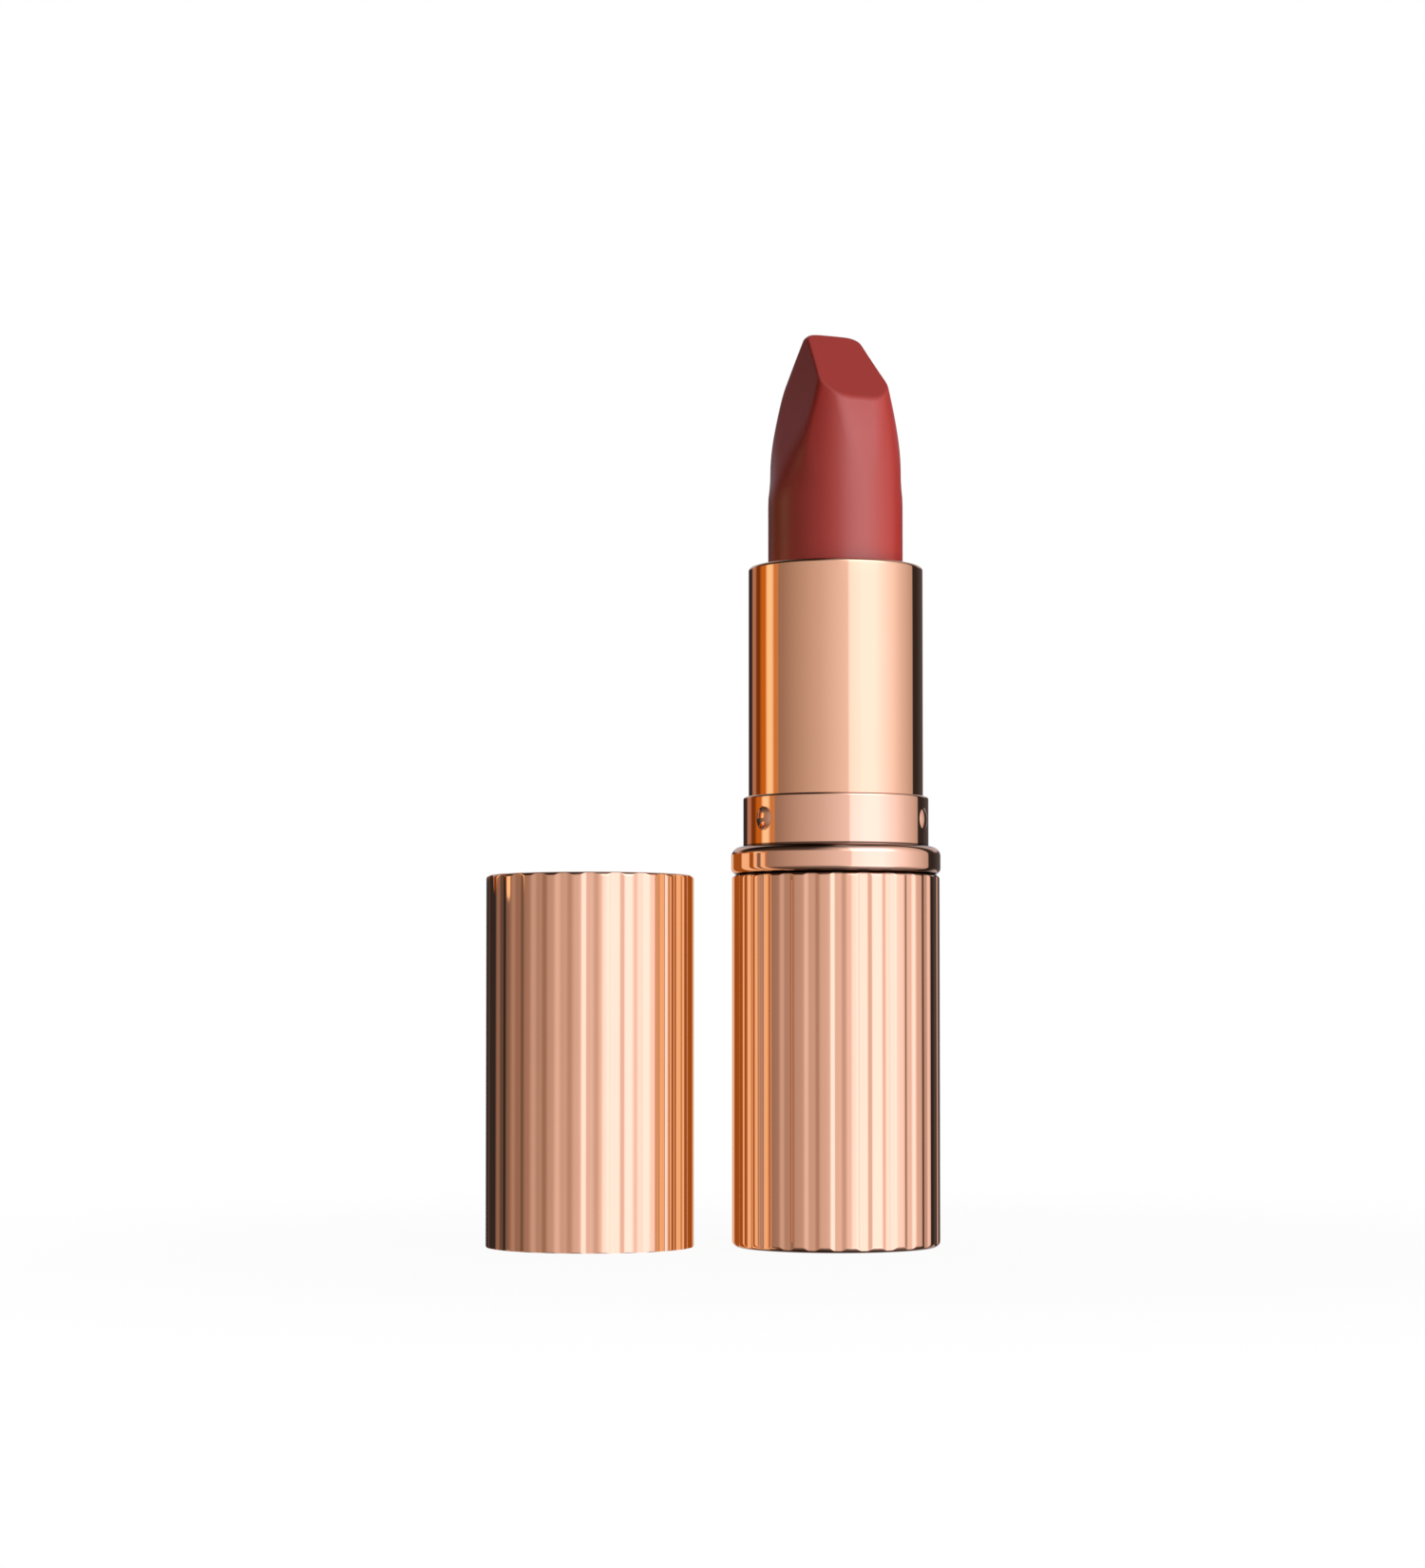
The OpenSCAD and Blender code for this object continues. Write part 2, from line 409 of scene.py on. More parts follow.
@dataclass(frozen=True)
class TurnedSteel(Finish):
    """Plated steel with turning marks across its height."""

    mark_scale: float = 300.0
    mark_stretch: Colour = (0.05, 0.05, 12.0)
    mark_depth: float = 0.004 * MM
    plating_scale: float = 220.0
    plating_shade: float = 0.75
    plating_haze: float = 0.2

    def vary(self, graph: Graph, surface: bpy.types.Node) -> None:
        """Adds turning marks and uneven plating."""
        marks = graph.noise(self.mark_scale, 2.0, self.mark_stretch)
        plating = graph.noise(self.plating_scale, 4.0)
        darker = graph.share_of(self.colour, self.plating_shade)
        graph.plug(surface.inputs["Base Color"], graph.mix(plating, darker, self.colour))
        graph.plug(surface.inputs["Roughness"], self.roughness + self.plating_haze * plating)
        graph.plug(surface.inputs["Normal"], graph.bump(marks, self.mark_depth))


@dataclass(frozen=True)
class PrintedPaper(Finish):
    """Coated paper label: a plain swatch of the lip colour in a thin ring, on off-white stock."""

    swatch: Colour = (0.4, 0.05, 0.05)
    swatch_r: float = 4.2 * MM
    ring_r: float = 6.8 * MM
    ring_w: float = 0.12 * MM
    soft_edge: float = 0.03 * MM
    fibre_scale: float = 1800.0
    fibre_shade: float = 0.93
    fibre_depth: float = 0.01 * MM
    fibre_haze: float = 0.12

    def vary(self, graph: Graph, surface: bpy.types.Node) -> None:
        """Draws the swatch and the ring round the label's middle, over paper fibre."""
        place = graph.add("ShaderNodeTexCoord").outputs["Object"]
        level = (1.0, 1.0, 0.0)
        flat = graph.add("ShaderNodeVectorMath", {"operation": "MULTIPLY"}, _0=place, _1=level)
        length = graph.add("ShaderNodeVectorMath", {"operation": "LENGTH"}, _0=flat.outputs[0])
        radius = Signal(graph, length.outputs["Value"])
        soft = self.soft_edge
        inside = graph.smooth(radius, self.swatch_r - soft, self.swatch_r + soft, 1.0, 0.0)
        ring = graph.smooth(abs(radius - self.ring_r), self.ring_w, self.ring_w + soft, 1.0, 0.0)
        fibre = graph.noise(self.fibre_scale, 5.0)
        stock = graph.mix(fibre, graph.share_of(self.colour, self.fibre_shade), self.colour)
        printed = graph.mix(inside.most(ring), stock, self.swatch)
        graph.plug(surface.inputs["Base Color"], printed)
        graph.plug(surface.inputs["Roughness"], self.roughness + self.fibre_haze * (fibre - 0.5))
        graph.plug(surface.inputs["Normal"], graph.bump(fibre, self.fibre_depth))


ROSE = (0.95, 0.54, 0.33)
ROSE_FLUTED = (0.95, 0.535, 0.342)
ROSE_PINK = (0.955, 0.555, 0.37)
LIP_RED = (0.52, 0.022, 0.013)

# Heights of the bead ring's joins, where painted shade darkens the metal
SHADED_SEAMS = (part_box("bead_ring")[0].z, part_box("bead_ring")[1].z)
POLISH = 0.02
FLUTED_METAL = PolishedMetal("rose_gold_fluted", ROSE_FLUTED, POLISH, metallic=1.0, shaded_seams=SHADED_SEAMS[:1])
CAP_METAL = PolishedMetal("rose_gold_cap", ROSE_FLUTED, POLISH, metallic=1.0)
TUBE_METAL = PolishedMetal("rose_gold_tube", ROSE, POLISH, metallic=1.0)
SMOOTH_METAL = PolishedMetal("rose_gold_collar", ROSE_PINK, POLISH, metallic=1.0, shaded_seams=SHADED_SEAMS)
WAX_GLOSS = (("IOR", 1.55), ("Specular IOR Level", 0.92), ("Specular Tint", (1.0, 0.89, 0.77, 1.0)))
LIP_WAX = Wax("lip_wax", LIP_RED, roughness=0.36, fixed=WAX_GLOSS)
LINER_PLASTIC = Moulded("liner_plastic", (0.79, 0.75, 0.68), roughness=0.42)
GUIDE_PLASTIC = Moulded("guide_plastic", (0.82, 0.80, 0.76), roughness=0.38)
SPIRAL_PLASTIC = Moulded("spiral_plastic", (0.73, 0.71, 0.66), roughness=0.4)
CUP_PLASTIC = Moulded("cup_plastic", (0.71, 0.39, 0.27), roughness=0.22, grain_depth=0.003 * MM)
DRAG_RUBBER = Moulded("drag_rubber", (0.012, 0.012, 0.013), roughness=0.75)
WEIGHT_STEEL = TurnedSteel("weight_steel", (0.44, 0.44, 0.46), roughness=0.28, metallic=1.0)
RING_STEEL = TurnedSteel("ring_steel", (0.56, 0.56, 0.57), roughness=0.2, metallic=1.0)
LABEL_PAPER = PrintedPaper("label_paper", (0.86, 0.83, 0.78), roughness=0.6, swatch=LIP_RED)


# ---------------------------------------------------------------- mesh tools


class Ends(Enum):
    """How a turned outline ends."""

    LOOP = "the outline closes on itself, as on a tube"
    POLES = "the outline starts and ends on the axis, as on a cup"


def arc(
    centre_r: float, centre_z: float, radius: float, start: float, end: float, steps: int = 8
) -> Outline:
    """Points of an arc in an outline.

    Args:
        centre_r: centre's distance from the axis.
        centre_z: centre's height.
        radius: radius of the arc.
        start: first angle in degrees, 0 outwards and 90 up.
        end: last angle in degrees.
        steps: number of steps.

    Returns:
        The points, ends included.
    """
    angles = [math.radians(start + (end - start) * i / steps) for i in range(steps + 1)]
    return [(centre_r + radius * math.cos(a), centre_z + radius * math.sin(a)) for a in angles]


def even_columns(count: int) -> np.ndarray:
    """Evenly spaced angles round the axis, in radians."""
    return np.arange(count) * (2.0 * math.pi / count)


def mesh_piece(
    name: str, points: np.ndarray, faces: list[tuple[int, ...]], sharp: float
) -> bpy.types.Object:
    """Makes a smooth-shaded mesh object.

    Args:
        name: the object's name.
        points: vertex places.
        faces: vertex numbers of each face.
        sharp: edges that turn by more than this many degrees stay sharp.

    Returns:
        The new object.
    """
    mesh = bpy.data.meshes.new(name)
    mesh.from_pydata(points.tolist(), [], faces)
    mesh.validate()
    mesh.shade_smooth()
    mesh.set_sharp_from_angle(angle=math.radians(sharp))
    piece = bpy.data.objects.new(name, mesh)
    bpy.context.scene.collection.objects.link(piece)
    return piece


def turned(
    name: str,
    outline: Outline,
    columns: np.ndarray,
    ends: Ends,
    centre: Vector = Vector((0.0, 0.0, 0.0)),
    shape: Callable[[np.ndarray, np.ndarray, np.ndarray], np.ndarray] | None = None,
    sharp: float = 38.0,
) -> bpy.types.Object:
    """Turns an outline about an upright axis, with an optional change of radius over the surface.

    The outline runs so that the solid is on its left, seen with the axis on the left.

    Args:
        name: the object's name.
        outline: (radius, height) points.
        columns: angles of the columns, in radians.
        ends: whether the outline closes on itself or ends on the axis.
        centre: the axis's place.
        shape: gives the radius at (radius, height, angle), as arrays.
        sharp: edges that turn by more than this many degrees stay sharp.

    Returns:
        The new object.
    """
    rows = np.array(outline)
    radius, angle = np.meshgrid(rows[:, 0], columns, indexing="ij")
    height = np.repeat(rows[:, 1:2], len(columns), axis=1)
    if shape is not None:
        radius = shape(radius, height, angle)
    grid = np.stack([radius * np.cos(angle), radius * np.sin(angle), height], axis=2)
    grid += np.array(centre)
    n_rows, n_cols = radius.shape
    faces: list[tuple[int, ...]] = []
    if ends is Ends.POLES:
        first, last = grid[0, 0], grid[-1, 0]
        body = grid[1:-1].reshape(-1, 3)
        points = np.vstack([body, first, last])
        start, stop = len(body), len(body) + 1
        n_rows -= 2
        top = (n_rows - 1) * n_cols
        for j in range(n_cols):
            k = (j + 1) % n_cols
            faces.append((start, k, j))
            faces.append((stop, top + j, top + k))
        pairs = range(n_rows - 1)
    else:
        points = grid.reshape(-1, 3)
        pairs = range(n_rows)
    for i in pairs:
        low, high = i * n_cols, ((i + 1) % n_rows) * n_cols
        for j in range(n_cols):
            k = (j + 1) % n_cols
            faces.append((low + j, low + k, high + k, high + j))
    return mesh_piece(name, points, faces, sharp)


def settle(piece: bpy.types.Object, node: str, body: str, finish: Finish) -> None:
    """Dresses a new piece and ties it to the frame.

    Args:
        piece: the new piece.
        node: the frame's node that it stands for.
        body: the body that it rides on.
        finish: its finish.
    """
    piece.data.materials.append(finish.material())
    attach(piece, body)
    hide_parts(node)
    LOG.info("%s: %d vertices, on %s", piece.name, len(piece.data.vertices), body)


def dress(node: str, finish: Finish) -> None:
    """Gives a node of the frame its finish.

    Args:
        node: the frame's node.
        finish: its finish.
    """
    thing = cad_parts[node]
    if not thing.material_slots:
        thing.data.materials.append(None)
    for material_slot in thing.material_slots:
        material_slot.link = "OBJECT"
        material_slot.material = finish.material()
    LOG.info("%s: dressed in %s", node, finish.name)


@dataclass
class Place:
    """Where a round node is, read from the frame."""

    node: str
    low: Vector = field(init=False)
    high: Vector = field(init=False)

    def __post_init__(self) -> None:
        """Reads the node's box."""
        self.low, self.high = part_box(self.node)

    @property
    def radius(self) -> float:
        """Largest radius that fits the node's box."""
        return min(self.high.x - self.low.x, self.high.y - self.low.y) / 2.0

    @property
    def axis(self) -> Vector:
        """Where the node's upright axis meets the table."""
        return Vector(((self.low.x + self.high.x) / 2.0, 0.0, 0.0))


# ---------------------------------------------------------------- fluted shells


@dataclass(frozen=True)
class Flutes:
    """Shallow flutes round a shell: flat lands with rounded valleys between them."""

    count: int = 25
    depth: float = 0.15 * MM
    flank: float = 0.444
    softness: float = 0.245
    phase: float = 0.0
    blend: float = 0.035 * MM
    columns_each: int = 26

    def columns(self) -> np.ndarray:
        """Angles of the mesh columns."""
        return even_columns(self.count * self.columns_each)

    def cut(self, angle: np.ndarray) -> np.ndarray:
        """Depth of the flutes at each angle.

        Args:
            angle: angles round the axis, in radians.

        Returns:
            How far the surface lies below the crests.
        """
        turn = (angle - self.phase) * self.count / (2.0 * math.pi)
        away = np.abs(turn - np.round(turn)) * 2.0
        step = np.clip((away - self.flank) / (2.0 * self.softness) + 0.5, 0.0, 1.0)
        return self.depth * (1.0 - step * step * (3.0 - 2.0 * step))

    def shape(self, crest: float) -> Callable[[np.ndarray, np.ndarray, np.ndarray], np.ndarray]:
        """Gives the rule that lets the flutes run out into the rounded edges.

        Args:
            crest: radius over the crests.

        Returns:
            A rule for turned().
        """

        def rule(radius: np.ndarray, height: np.ndarray, angle: np.ndarray) -> np.ndarray:
            """Takes the smaller of the outline and the fluted wall, with a soft join."""
            wall = crest - self.cut(angle)
            gap = np.clip(0.5 + 0.5 * (wall - radius) / self.blend, 0.0, 1.0)
            joined = wall * (1.0 - gap) + radius * gap - self.blend * gap * (1.0 - gap)
            return np.where(radius > 0.955 * crest, joined, radius)

        return rule


@dataclass
class Base:
    """The part that stands on the table: fluted shell, bead ring and collar."""

    flutes: Flutes = Flutes(phase=math.radians(-90.8))
    foot_round: float = 0.6 * MM
    shoulder_round: float = 0.38 * MM
    label_edge: float = 8.2 * MM
    label_recess: float = 0.35 * MM
    label_round: float = 0.08 * MM
    bead_top_round: float = 0.85 * MM
    bead_foot_round: float = 0.65 * MM
    collar_round: float = 0.25 * MM
    pips: int = 3
    pip_turn: float = -22.0
    pip_reach: float = 15.5
    pip_columns: int = 125
    pip_radius: float = 1.05 * MM
    pip_rise: float = 0.2 * MM
    pip_height: float = 2.5 * MM

    @property
    def pip_angles(self) -> list[float]:
        """Where the pips sit round the collar, in degrees."""
        return [self.pip_turn + 360.0 * i / self.pips for i in range(self.pips)]

    def build(self) -> None:
        """Builds and dresses every piece of the base."""
        self.shell()
        self.bead()
        self.collar()
        dress("base_label", LABEL_PAPER)
        dress("base_liner", LINER_PLASTIC)
        dress("weight_plug", LINER_PLASTIC)
        dress("base_weight", WEIGHT_STEEL)
        dress("lower_drag_ring", DRAG_RUBBER)
        dress("upper_drag_ring", DRAG_RUBBER)
        dress("guide_sleeve", GUIDE_PLASTIC)
        dress("retaining_ring", RING_STEEL)

    def shell(self) -> None:
        """Fluted cup with a rounded foot and the label's recess underneath."""
        place = Place("base_shell")
        liner = Place("base_liner")
        crest, top = place.radius, place.high.z
        bore, floor = liner.radius + CLEARANCE, liner.low.z
        edge, foot, shoulder = self.label_round, self.foot_round, self.shoulder_round
        outline: Outline = [(0.0, self.label_recess), (self.label_edge, self.label_recess)]
        outline += arc(self.label_edge + edge, edge, edge, 180.0, 270.0, 4)
        outline += arc(crest - foot, foot, foot, -90.0, 0.0, 26)
        outline += [(crest, foot + (top - 2.0 * foot) * i / 6.0) for i in range(1, 6)]
        outline += arc(crest - shoulder, top - shoulder, shoulder, 0.0, 90.0, 12)
        outline += [(bore, top), (bore, floor), (0.0, floor)]
        piece = turned(
            "fluted_base", outline, self.flutes.columns(), Ends.POLES, place.axis, self.flutes.shape(crest)
        )
        settle(piece, "base_shell", "base", FLUTED_METAL)

    def bead(self) -> None:
        """Rounded ring between base and collar."""
        place = Place("bead_ring")
        inner = Place("collar").radius + CLEARANCE
        out, low, top = place.radius, place.low.z, place.high.z
        foot, head = self.bead_foot_round, self.bead_top_round
        outline: Outline = [(inner, low)]
        outline += arc(out - foot, low + foot, foot, -90.0, 0.0, 16)
        outline += arc(out - head, top - head, head, 0.0, 90.0, 20)
        outline += [(inner, top)]
        piece = turned("bead", outline, even_columns(ROUND_COLUMNS), Ends.LOOP, place.axis)
        settle(piece, "bead_ring", "base", SMOOTH_METAL)

    def collar_columns(self) -> np.ndarray:
        """Columns round the collar, close together at each pip."""
        whole = 2.0 * math.pi
        wide = math.radians(1.5)
        reach = math.radians(self.pip_reach)
        fine = np.linspace(-reach, reach, self.pip_columns)
        pips = [math.radians(a) for a in self.pip_angles]
        angles = list(np.arange(0.0, whole, wide))
        angles = [a for a in angles if all(abs(math.remainder(a - p, whole)) > reach for p in pips)]
        for p in pips:
            angles += [(p + f) % whole for f in fine]
        return np.array(sorted(angles))

    def collar(self) -> None:
        """Plain sleeve with pips that hold the cap."""
        place = Place("collar")
        low, top = place.low.z, place.high.z
        out = place.radius
        pip_z = Place("bead_ring").high.z + self.pip_height
        bore = Place("tube_shell").radius + 0.06 * MM

        def rule(radius: np.ndarray, height: np.ndarray, angle: np.ndarray) -> np.ndarray:
            """Raises a soft-edged dome at each pip."""
            lifted = radius.copy()
            for degrees in self.pip_angles:
                around = (angle - math.radians(degrees) + math.pi) % (2.0 * math.pi) - math.pi
                away = np.hypot(around * out, height - pip_z)
                dome = np.clip(1.0 - (away / self.pip_radius) ** 2, 0.0, 1.0)
                lifted += np.where(radius > out - 0.01 * MM, self.pip_rise * dome, 0.0)
            return lifted

        first, last = low + 0.1 * MM, top - self.collar_round - 0.05 * MM
        steps = [first + (last - first) * i / 80.0 for i in range(81)]
        outline: Outline = [(bore, low), (out, low)]
        outline += [(out, z) for z in steps]
        outline += arc(out - self.collar_round, top - self.collar_round, self.collar_round, 0.0, 90.0, 10)
        outline += [(bore, top)]
        piece = turned("collar_sleeve", outline, self.collar_columns(), Ends.LOOP, place.axis, rule)
        settle(piece, "collar", "base", SMOOTH_METAL)


@dataclass
class Tube:
    """The part that turns: smooth tube over the spiral sleeve."""

    rim_out: float = 0.35 * MM
    rim_in: float = 0.25 * MM
    lip_bore: float = 7.05 * MM
    lip: float = 0.8 * MM
    wall: float = 0.36 * MM

    def build(self) -> None:
        """Builds and dresses the tube's pieces."""
        place = Place("tube_shell")
        out, low, top = place.radius, place.low.z, place.high.z
        outline: Outline = [(out - self.wall, low), (out, low)]
        outline += [(out, low + (top - self.rim_out - low) * i / 6.0) for i in range(1, 6)]
        outline += arc(out - self.rim_out, top - self.rim_out, self.rim_out, 0.0, 90.0, 16)
        outline += arc(self.lip_bore + self.rim_in, top - self.rim_in, self.rim_in, 90.0, 180.0, 12)
        outline += [(self.lip_bore, top - self.lip), (out - self.wall, top - self.lip)]
        piece = turned("smooth_tube", outline, even_columns(ROUND_COLUMNS), Ends.LOOP, place.axis)
        settle(piece, "tube_shell", "tube", TUBE_METAL)
        dress("spiral_sleeve", SPIRAL_PLASTIC)


# ---------------------------------------------------------------- colour stick


def soft_most(a: np.ndarray, b: np.ndarray, width: Union[float, np.ndarray]) -> np.ndarray:
    """Larger of two distances with a rounded join.

    Args:
        a: first distances.
        b: second distances.
        width: size of the rounded join.

    Returns:
        The joined distances.
    """
    share = np.clip(0.5 + 0.5 * (a - b) / width, 0.0, 1.0)
    return b * (1.0 - share) + a * share + width * share * (1.0 - share)


@dataclass
class ColourStick:
    """The stick of lip colour: round below, easing to a four-sided tip with a slanted face."""

    turn: float = 26.0
    swell_height: float = 16.2 * MM
    swell_radius: float = 56.0 * MM
    front_radius: float = 38.0 * MM
    face_foot: float = 4.8 * MM
    face_head: float = -0.7 * MM
    face_drop: float = 6.4 * MM
    side_head: float = 2.75 * MM
    head_lean: float = 0.15
    foot_lean: float = 0.29
    side_start: float = 1.5 * MM
    side_blend: float = 0.6 * MM
    round_blend: float = 0.3 * MM
    join_share: float = 0.6
    squareness: float = 47.0
    squaring: float = 2.8
    squarest: float = 14.0
    face_edge: float = 0.16 * MM
    crown_drop: float = 0.4 * MM
    crown_edge: float = 0.3 * MM
    columns: int = 480
    rows: int = 170
    shaft_rows: int = 30
    halvings: int = 34

    def distance(self, place: Place, point: np.ndarray) -> np.ndarray:
        """Signed distance-like value of points to the stick's skin, negative inside.

        Args:
            place: the stick's node.
            point: points as an array of (towards the face, sideways, up).

        Returns:
            One value for each point.
        """
        radius, tip = place.radius, place.high.z
        ahead, side, up = point[..., 0], point[..., 1], point[..., 2]
        rise = np.clip(up - (tip - self.swell_height), 0.0, self.swell_height)
        share = rise / self.swell_height
        round_body = np.hypot(ahead, side) - (radius - rise * rise / (2.0 * self.swell_radius))
        front = radius - rise * rise / (2.0 * self.front_radius)
        lean = radius + self.face_head
        back_r = (lean**2 + self.swell_height**2) / (2.0 * lean)
        back = radius - back_r + np.sqrt(back_r**2 - rise * rise)
        foot_side = radius - self.foot_lean * rise * rise / (rise + self.side_start)
        head_side = self.side_head + self.head_lean * (self.swell_height - rise)
        ease = np.clip(share / self.join_share, 0.001, 1.0)
        width = soft_most(foot_side, head_side, self.side_blend)
        power = np.minimum(2.0 + self.squareness * share**self.squaring, self.squarest)
        depth = np.where(ahead > 0.0, front, back)
        reach = (np.abs(side / width) ** power + np.abs(ahead / depth) ** power) ** (1.0 / power)
        body = soft_most((reach - 1.0) * np.minimum(width, depth), round_body, self.round_blend * ease)
        run = self.face_foot - self.face_head
        slant = math.hypot(run, self.face_drop)
        face = ((ahead - self.face_head) * self.face_drop + (up - tip) * run) / slant
        crown = up - tip + self.crown_drop * (side / self.side_head) ** 4
        return soft_most(soft_most(body, face, self.face_edge), crown, self.crown_edge)

    def cast(self, place: Place, origin: np.ndarray, rays: np.ndarray) -> np.ndarray:
        """Follows rays from inside the stick to its skin.

        Args:
            place: the stick's node.
            origin: where the rays start.
            rays: their directions.

        Returns:
            The points on the skin.
        """
        near = np.zeros(rays.shape[:-1])
        far = np.full(rays.shape[:-1], 1.5 * self.swell_height)
        for _ in range(self.halvings):
            middle = (near + far) / 2.0
            outside = self.distance(place, origin + rays * middle[..., None]) > 0.0
            far = np.where(outside, middle, far)
            near = np.where(outside, near, middle)
        return origin + rays * near[..., None]

    def build(self) -> None:
        """Casts rays from inside the stick to its skin and joins them into one closed mesh."""
        place = Place("bullet")
        low, tip = place.low.z, place.high.z
        hub = np.array([0.4 * MM, 0.0, tip - 0.72 * self.swell_height])
        angle = even_columns(self.columns)
        ring = np.stack([np.cos(angle), np.sin(angle), np.zeros_like(angle)], axis=1)
        climb = np.radians(np.linspace(0.0, 90.0, self.rows + 1)[:-1])
        rays = ring[None] * np.cos(climb)[:, None, None]
        rays[..., 2] = np.sin(climb)[:, None]
        shaft = []
        for share in np.linspace(0.0, 1.0, self.shaft_rows)[:-1]:
            origin = np.array([hub[0] * share, 0.0, low + (hub[2] - low) * share])
            shaft.append(self.cast(place, origin, ring))
        grid = np.concatenate([np.array(shaft), self.cast(place, hub, rays)])
        peak = self.cast(place, hub, np.array([[0.0, 0.0, 1.0]]))
        spin = np.array(Matrix.Rotation(math.radians(self.turn - 90.0), 3, "Z"))
        points = np.vstack([grid.reshape(-1, 3), peak, [0.0, 0.0, low]]) @ spin.T
        n_rows, n_cols = grid.shape[:2]
        faces: list[tuple[int, ...]] = []
        for i in range(n_rows - 1):
            for j in range(n_cols):
                k = (j + 1) % n_cols
                low_row, high_row = i * n_cols, (i + 1) * n_cols
                faces.append((low_row + j, low_row + k, high_row + k, high_row + j))
        last = (n_rows - 1) * n_cols
        for j in range(n_cols):
            k = (j + 1) % n_cols
            faces.append((last + j, last + k, n_rows * n_cols))
            faces.append((k, j, n_rows * n_cols + 1))
        piece = mesh_piece("colour_stick", points, faces, 60.0)
        settle(piece, "bullet", "carrier", LIP_WAX)
        dress("bullet_cup", CUP_PLASTIC)


@dataclass
class Cap:
    """The pull-off cap: fluted shell with a plain top, and its moulded liner."""

    flutes: Flutes = Flutes(phase=math.radians(-88.1), flank=0.5, softness=0.32)
    mouth_round: float = 0.1 * MM
    top_round: float = 0.42 * MM
    roof: float = 0.9 * MM

    def build(self) -> None:
        """Builds and dresses the cap's pieces."""
        place = Place("cap_shell")
        crest, low, top = place.radius, place.low.z, place.high.z
        bore = Place("cap_liner").radius + CLEARANCE
        mouth, head = self.mouth_round, self.top_round
        outline: Outline = [(0.0, top - self.roof), (bore, top - self.roof), (bore, low + mouth)]
        outline += arc(bore + mouth, low + mouth, mouth, 180.0, 270.0, 4)
        outline += arc(crest - mouth, low + mouth, mouth, -90.0, 0.0, 8)
        outline += [(crest, low + (top - head - low) * i / 6.0) for i in range(1, 6)]
        outline += arc(crest - head, top - head, head, 0.0, 90.0, 18)
        outline += [((crest - head) * (1.0 - i / 5.0), top) for i in range(1, 6)]
        piece = turned(
            "fluted_cap", outline, self.flutes.columns(), Ends.POLES, place.axis, self.flutes.shape(crest)
        )
        settle(piece, "cap_shell", "cap", CAP_METAL)
        dress("cap_liner", LINER_PLASTIC)


# ---------------------------------------------------------------- studio

Lights = tuple[tuple[float, Colour], ...]
Span = tuple[float, float]
BOX_STRENGTH = 2.5


def soft_box(level: float) -> Colour:
    """Colour of a soft box at a light level: weak light is warm and strong light is cool."""
    return (level**0.8, level, 1.15 * level**1.2)


BACK_CARD = (0.9, 0.9, 1.0)
DARK = (0.035, 0.032, 0.035)
DIM = (0.12, 0.12, 0.12)
EMBER = (0.2, 0.055, 0.01)
RUST = (0.38, 0.12, 0.02)
AMBER = (0.6, 0.2, 0.02)
BRASS = (0.65, 0.33, 0.13)
BRONZE = (0.48, 0.27, 0.18)
UMBER = (0.28, 0.18, 0.15)
GOLD = (1.0, 0.74, 0.5)
CREAM = (1.2, 1.0, 0.7)

# Soft boxes round the case. Each stop is a bearing, in degrees from the camera round to the right.
STUDIO_BOXES: Lights = (
    (-180.0, BACK_CARD),
    (-168.0, BACK_CARD),
    (-166.0, DARK),
    (-128.0, DARK),
    (-92.0, soft_box(0.24)),
    (-74.0, soft_box(0.3)),
    (-54.0, soft_box(0.43)),
    (-22.0, soft_box(0.63)),
    (14.5, soft_box(0.95)),
    (16.0, soft_box(1.4)),
    (34.0, soft_box(1.6)),
    (50.0, soft_box(1.6)),
    (76.0, soft_box(1.15)),
    (94.0, soft_box(0.8)),
    (119.0, soft_box(0.48)),
    (121.0, DARK),
    (132.0, DARK),
    (165.0, DIM),
    (167.0, BACK_CARD),
)
# Warm bands on the left, by bearing
WARM_CARD: Lights = (
    (-168.0, BACK_CARD),
    (-166.0, DARK),
    (-146.0, DARK),
    (-143.0, BRONZE),
    (-134.0, BRONZE),
    (-129.0, EMBER),
    (-122.0, EMBER),
    (-116.0, AMBER),
    (-108.0, AMBER),
    (-103.0, CREAM),
    (-95.0, CREAM),
    (-90.0, BRASS),
    (-84.0, BRASS),
)
# Painted reflection bands of the card between base and cap, from its middle out to its edge
PAINTED_REFLECTION_BANDS: Lights = (
    (0.0, RUST),
    (0.25, RUST),
    (0.3, GOLD),
    (0.5, GOLD),
    (0.54, RUST),
    (0.62, RUST),
    (0.65, GOLD),
    (0.71, GOLD),
    (0.74, UMBER),
    (0.81, UMBER),
    (0.84, GOLD),
    (0.92, GOLD),
    (0.96, BRONZE),
)


